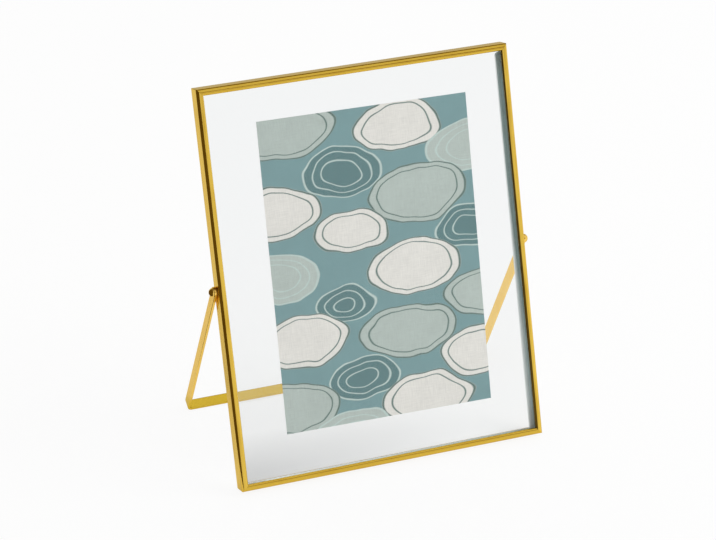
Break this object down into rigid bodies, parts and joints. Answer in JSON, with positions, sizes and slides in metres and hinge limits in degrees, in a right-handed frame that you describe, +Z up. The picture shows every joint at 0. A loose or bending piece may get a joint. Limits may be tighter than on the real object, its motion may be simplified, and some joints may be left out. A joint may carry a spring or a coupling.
{
  "type": "glass picture frame",
  "caption": "Upright floating picture frame: a print held between two glass panes in a thin mitred brass channel, leaning back on a U-shaped swing stand.",
  "frame": {"origin": "on the ground, at the middle of the object's width and depth, as it stands with its stand open", "axes": "+X to the right seen from the front, +Y to the back where the stand is, +Z up; the frame leans back 18.5 degrees"},
  "size_m": [0.1964, 0.105, 0.2247],
  "materials": {
    "frame_brass": "polished",
    "stand_brass": "polished",
    "key_brass": "satin",
    "lining": "matte",
    "clear_glass": "polished",
    "print": "matte"
  },
  "bodies": {
    "frame": {"rail_left": "frame_brass", "rail_right": "frame_brass", "rail_bottom": "frame_brass", "lining_left": "lining", "lining_right": "lining", "lining_bottom": "lining", "key_bottom_left": "key_brass", "key_bottom_right": "key_brass", "rivet_left": "stand_brass", "rivet_right": "stand_brass", "spacer_left": "key_brass", "spacer_right": "key_brass", "backing_left": "key_brass", "backing_right": "key_brass"},
    "stand": {"stand_bail": "stand_brass"},
    "glass_pack": {"glass_front": "clear_glass", "glass_rear": "clear_glass", "print_sheet": "print"},
    "top": {"rail_top": "frame_brass", "lining_top": "lining", "key_top_left": "key_brass", "key_top_right": "key_brass"}
  },
  "joints": [
    {"name": "stand_hinge", "type": "hinge", "parent": "frame", "child": "stand", "pos_m": [0, -0.00879, 0.1122], "axis": [1, 0, 0], "range_deg": [-46.39, 120]},
    {"name": "glass_slide", "type": "slide", "parent": "frame", "child": "glass_pack", "axis": [0, 0.3173, 0.9483], "range_m": [0, 0.22]},
    {"name": "top_rail_lift", "type": "slide", "parent": "glass_pack", "child": "top", "axis": [0, 0.3173, 0.9483], "range_m": [0, 0.03]}
  ]
}
